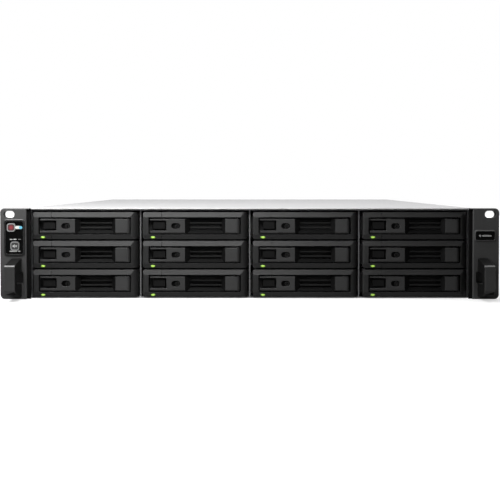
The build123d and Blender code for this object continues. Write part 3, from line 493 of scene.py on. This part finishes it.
def finish_inside():
    """Boards, fans, heatsink and supplies."""
    low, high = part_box("backplane")
    socket_depth = 15.3
    finish_node(
        "backplane",
        board_green,
        [
            (connector_plastic, (None, None, None), (None, socket_depth - 0.2, None)),
            (ivory_plastic, (None, socket_depth + 2.3, None), (None, None, None)),
        ],
        (0.0, low.y, low.z),
    )
    finish_node("fan_frames", fan_plastic)
    for number in range(1, 5):
        finish_node(f"impeller_{number}", fan_plastic)
    low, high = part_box("mainboard")
    board_top = 1.7
    memory_x, memory_y = (-30.5, 76.0), (79.0, 214.0)
    module_z, chips_z = 8.7, (13.5, 25.7)
    jack_front, port_back, port_z = 362.0, (372.0, 385.9), (3.7, 14.4)
    port_half = 6.1
    finish_node(
        "mainboard",
        board_green,
        [
            (connector_plastic, (None, None, board_top), (None, None, None)),
            (board_green, (None, memory_y[0], module_z), (memory_x[0], memory_y[1], None)),
            (board_green, (memory_x[1], memory_y[0], module_z), (None, memory_y[1], None)),
            (chip_black, (None, memory_y[0], chips_z[0]), (memory_x[0], memory_y[1], chips_z[1])),
            (chip_black, (memory_x[1], memory_y[0], chips_z[0]), (None, memory_y[1], chips_z[1])),
            (nickel, (-110.0, jack_front, board_top), (0.0, None, None)),
            *[
                (
                    connector_plastic,
                    (x - port_half, port_back[0], port_z[0]),
                    (x + port_half, port_back[1], port_z[1]),
                )
                for x in PORTS
            ],
        ],
        (0.0, low.y, low.z),
    )
    finish_node("heatsink", finned_aluminium)
    for number in (1, 2):
        low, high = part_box(f"psu_{number}")
        origin = ((low.x + high.x) / 2, high.y, low.z)
        finish_node(
            f"psu_{number}",
            plated,
            [
                (handle_coat, (-3.0, -31.9, None), (1.5, None, None)),
                (connector_plastic, (2.0, -50.0, 5.0), (27.2, -32.1, 22.2)),
                *[(nickel, (x - 1.1, -49.0, z - 2.1), (x + 1.1, -35.9, z + 2.1)) for x, z in INLET_PINS],
                (led_green, (5.4, -31.99, 32.4), (8.6, -31.3, 35.6)),
                (board_green, (-24.5, None, 6.5), (24.5, -217.2, 9.0)),
            ],
            origin,
        )
        finish_node(f"psu_latch_{number}", latch_green)


# ---------------------------------------------------------------- small printed and lit pieces
def arc_points(centre, radius, start, end, steps):
    """Points along an arc, angles in degrees."""
    angles = [math.radians(start + (end - start) * step / steps) for step in range(steps + 1)]
    return [(centre[0] + radius * math.cos(a), centre[1] + radius * math.sin(a)) for a in angles]


def rounded_rect(width, height, radius, steps=8):
    """Outline of a rounded rectangle about the origin."""
    x, z = width / 2 - radius, height / 2 - radius
    corners = [((x, z), 0), ((-x, z), 90), ((-x, -z), 180), ((x, -z), 270)]
    points = []
    for centre, start in corners:
        points += arc_points(centre, radius, start, start + 90, steps)
    return points


def plate_mesh(name, outlines, thickness):
    """A thin plate facing -Y, from outer and inner outlines in millimetres, with softened front edges."""
    curve = bpy.data.curves.new(name, "CURVE")
    curve.dimensions = "2D"
    curve.fill_mode = "BOTH"
    curve.extrude = thickness * MM / 2
    curve.bevel_depth = min(0.08, thickness / 3) * MM
    curve.bevel_resolution = 1
    curve.offset = -curve.bevel_depth
    for outline in outlines:
        spline = curve.splines.new("POLY")
        spline.points.add(len(outline) - 1)
        for point, (x, z) in zip(spline.points, outline):
            point.co = (x * MM, z * MM, 0.0, 1.0)
        spline.use_cyclic_u = True
    holder = bpy.data.objects.new(name + "_curve", curve)
    bpy.context.scene.collection.objects.link(holder)
    bpy.context.view_layer.update()
    mesh = bpy.data.meshes.new_from_object(holder.evaluated_get(bpy.context.evaluated_depsgraph_get()))
    bpy.data.objects.remove(holder)
    bpy.data.curves.remove(curve)
    mesh.name = name
    return mesh


def add_plate(name, outlines, thickness, centre, material, body):
    """Places a thin plate with its back on centre, facing the front, and makes it ride on a body."""
    mesh = plate_mesh(name, outlines, thickness)
    mesh.materials.clear()
    mesh.materials.append(material)
    piece = bpy.data.objects.new(name, mesh)
    piece.rotation_euler = (math.pi / 2, 0.0, 0.0)
    piece.location = (centre[0], centre[1] - thickness * MM / 2, centre[2])
    bpy.context.scene.collection.objects.link(piece)
    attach(piece, body)
    return piece


def add_key_ring(button, width, outer_r, inner_r):
    """A printed ring near a key's edge; returns the middle of the key's face."""
    low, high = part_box(button)
    middle = (low + high) / 2
    face = (middle.x, low.y, middle.z)
    outer = (high.x - low.x) / MM - 0.5
    outlines = [rounded_rect(outer, outer, outer_r), rounded_rect(outer - width, outer - width, inner_r)]
    name = button.replace("button", "ring")
    add_plate(name, outlines, PRINT, face, key_ring, button)
    return face


def add_dashes(name, widths, height, centre, material):
    """A row of plain rounded dashes in one piece, centred on a place."""
    gap = 0.8
    left = -(sum(widths) + gap * (len(widths) - 1)) / 2
    outlines = []
    for width in widths:
        dash = rounded_rect(width, height, height / 2 - 0.01)
        outlines.append([(x + left + width / 2, z) for x, z in dash])
        left += width + gap
    add_plate(name, outlines, PRINT, centre, material, "chassis")


def add_panel_marks():
    """Rings and symbols of the keys, the status lamp's tab and plain dashes on the two windows."""
    power = add_key_ring("power_button", 1.7, 2.4, 1.7)
    mute = add_key_ring("mute_button", 1.4, 2.5, 1.9)
    horn = [(-2.1, -0.7), (-1.3, -0.7), (-0.2, -1.8), (-0.2, 1.8), (-1.3, 0.7), (-2.1, 0.7)]
    turned = [(0.3, 0.0), (1.1, 0.8), (0.8, 1.1)]
    cross = []
    for _ in range(4):
        cross += turned
        turned = [(-z, x) for x, z in turned]
    cross = [(x + 1.2, z) for x, z in cross]
    add_plate("mute_symbol", [horn, cross], PRINT, mute, key_print, "mute_button")
    low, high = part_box("control_window")
    front = low.y
    tab_x = power[0] + 7.4 * MM
    tab = rounded_rect(7.0, 2.9, 1.44)
    add_plate("status_tab", [tab], PRINT, (tab_x, front, power[2]), led_white, "chassis")
    lens = rounded_rect(3.2, 2.8, 1.39)
    lens_place = (tab_x + 1.9 * MM, front - PRINT * MM, power[2])
    add_plate("status_lens", [lens], PRINT, lens_place, led_cyan, "chassis")
    mark_z = mute[2] + 6.5 * MM
    add_dashes("alert_mark", [2.6, 3.0], 0.9, (mute[0] - 1.6 * MM, front, mark_z), key_print)
    add_dashes("state_mark", [2.6], 0.8, (mute[0] + 4.6 * MM, front, mark_z), faint_print)
    add_dashes("panel_dashes", [7.4, 2.0], 1.0, (mute[0], front, low.z + 2.7 * MM), plate_print)
    low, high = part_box("name_plate")
    middle = (low + high) / 2
    add_dashes("plate_dashes", [2.2, 9.0], 1.5, (middle.x, low.y, middle.z), plate_print)


def add_status_lenses():
    """A domed oval lens over every bay's light pipe: a bright middle in a dark green rim."""
    rings = [(2.5, 1.5, 0.3, None), (2.4, 1.4, 0.0, 1), (1.75, 0.9, -0.12, 1), (1.0, 0.45, -0.2, 0)]
    sides = 28
    for bay in BAYS:
        origin = tray_origin(bay)
        bm = bmesh.new()
        loops = []
        for half_x, half_z, y, _ in rings:
            loop = []
            for step in range(sides):
                angle = 2 * math.pi * step / sides
                place = Vector((half_x * math.cos(angle), y, half_z * math.sin(angle)))
                loop.append(bm.verts.new(place * MM))
            loops.append(loop)
        for inner, outer, ring in zip(loops[1:], loops, rings[1:]):
            for step in range(sides):
                after = (step + 1) % sides
                face = bm.faces.new((outer[step], outer[after], inner[after], inner[step]))
                face.material_index = ring[3]
                face.smooth = True
        front = bm.faces.new(loops[-1])
        back = bm.faces.new(list(reversed(loops[0])))
        back.material_index = 1
        front.smooth = True
        bmesh.ops.recalc_face_normals(bm, faces=bm.faces)
        mesh = bpy.data.meshes.new(f"status_light_{bay}")
        bm.to_mesh(mesh)
        bm.free()
        mesh.materials.append(led_green)
        mesh.materials.append(led_rim)
        lens = bpy.data.objects.new(f"status_light_{bay}", mesh)
        lens.location = Vector(origin) + Vector(LIGHT_PLACE) * MM
        bpy.context.scene.collection.objects.link(lens)
        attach(lens, f"tray_{bay}")


# ---------------------------------------------------------------- camera, light and floor
def aim(obj, target):
    """Turns a lamp or camera towards a point."""
    obj.rotation_euler = (Vector(target) - obj.location).to_track_quat("-Z", "Y").to_euler()


def add_camera():
    """A long lens low in front of the unit, tipped slightly down, with the rest of the framing by shift."""
    low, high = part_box("ear_covers")
    camera = bpy.data.objects.new("camera", bpy.data.cameras.new("camera"))
    camera.data.sensor_width = 36.0
    camera.data.lens = 78.51
    camera.data.shift_y = -0.0735
    camera.data.clip_end = 60.0
    camera.location = (0.0003, low.y - 1.052, 0.110)
    camera.rotation_euler = (math.radians(90.0 - 1.46), 0.0, 0.0)
    bpy.context.scene.collection.objects.link(camera)
    bpy.context.scene.camera = camera


def add_area_light(name, location, target, size, power):
    """A softbox that the camera doesn't see."""
    lamp = bpy.data.lights.new(name, "AREA")
    lamp.shape = "RECTANGLE"
    lamp.size, lamp.size_y = size
    lamp.energy = power
    obj = bpy.data.objects.new(name, lamp)
    obj.location = location
    obj.visible_camera = False
    bpy.context.scene.collection.objects.link(obj)
    aim(obj, target)
    return obj


def add_lights():
    """Key high at the front left, a strip over the front edge, a broad overhead box and a soft back light."""
    add_area_light("key", (-0.18, -0.50, 0.235), (-0.12, -0.33, 0.10), (0.50, 0.07), 1.38)
    add_area_light("front_strip", (-0.34, -0.44, 1.00), (-0.08, -0.33, 0.04), (0.50, 0.40), 4.6)
    add_area_light("overhead", (0.1, 0.4, 2.2), (0.0, 0.1, 0.0), (2.2, 2.2), 23.3)
    add_area_light("back", (0.0, 2.4, 1.6), (0.0, 0.3, 0.05), (2.6, 1.0), 14.0)


def add_world():
    """A pale studio: white to the camera, and a dim surround that is brighter behind than in front."""
    world = bpy.data.worlds.new("studio")
    bpy.context.scene.world = world
    world.use_nodes = True
    tree = world.node_tree
    background = tree.nodes["Background"]
    coords = tree.nodes.new("ShaderNodeTexCoord")
    split = tree.nodes.new("ShaderNodeSeparateXYZ")
    tree.links.new(coords.outputs["Generated"], split.inputs[0])
    depth = tree.nodes.new("ShaderNodeMapRange")
    depth.inputs["From Min"].default_value = -0.5
    depth.inputs["From Max"].default_value = 0.1
    depth.inputs["To Min"].default_value = SURROUND[0]
    depth.inputs["To Max"].default_value = SURROUND[1]
    tree.links.new(split.outputs[1], depth.inputs["Value"])
    seen = tree.nodes.new("ShaderNodeLightPath")
    level = tree.nodes.new("ShaderNodeMath")
    level.operation = "MAXIMUM"
    tree.links.new(depth.outputs[0], level.inputs[0])
    tree.links.new(seen.outputs["Is Camera Ray"], level.inputs[1])
    tree.links.new(level.outputs[0], background.inputs["Strength"])
    background.inputs["Color"].default_value = (1.0, 1.0, 1.0, 1.0)


def add_floor():
    """A broad pale floor with a faint grain, lit from within, that throws less light back in front."""
    bm = bmesh.new()
    bmesh.ops.create_grid(bm, x_segments=24, y_segments=24, size=FLOOR_HALF)
    mesh = bpy.data.meshes.new("floor")
    bm.to_mesh(mesh)
    bm.free()
    floor = bpy.data.objects.new("floor", mesh)
    shader = Shader("floor_paper")
    grain = shader.noise(4.0, 3.0)
    seen = shader.add("LightPath").outputs["Is Camera Ray"]
    pale = shader.mix(grain, grey(FLOOR_PALE[0]), grey(FLOOR_PALE[1]))
    depth = shader.add("SeparateXYZ", {0: shader.place()}).outputs[1]
    thrown = shader.mix(shader.ramp(depth, -420.0, -60.0), grey(FLOOR_THROWN[0]), grey(FLOOR_THROWN[1]))
    shader.set(Base_Color=shader.mix(seen, thrown, pale), Roughness=0.8)
    reach = shader.add("VectorMath", {0: shader.place()}, operation="LENGTH").outputs["Value"]
    glow = shader.ramp(reach, 600.0, 1700.0, FLOOR_GLOW, 1.0)
    shader.set(Emission_Color=grey(1.0), Emission_Strength=shader.math("MULTIPLY", seen, glow))
    shader.set(Specular_IOR_Level=0.0)
    mesh.materials.append(shader.material)
    bpy.context.scene.collection.objects.link(floor)


finish_bays()
finish_body()
finish_inside()
add_panel_marks()
add_status_lenses()
add_camera()
add_lights()
add_world()
add_floor()
bpy.context.scene.view_settings.view_transform = "Standard"
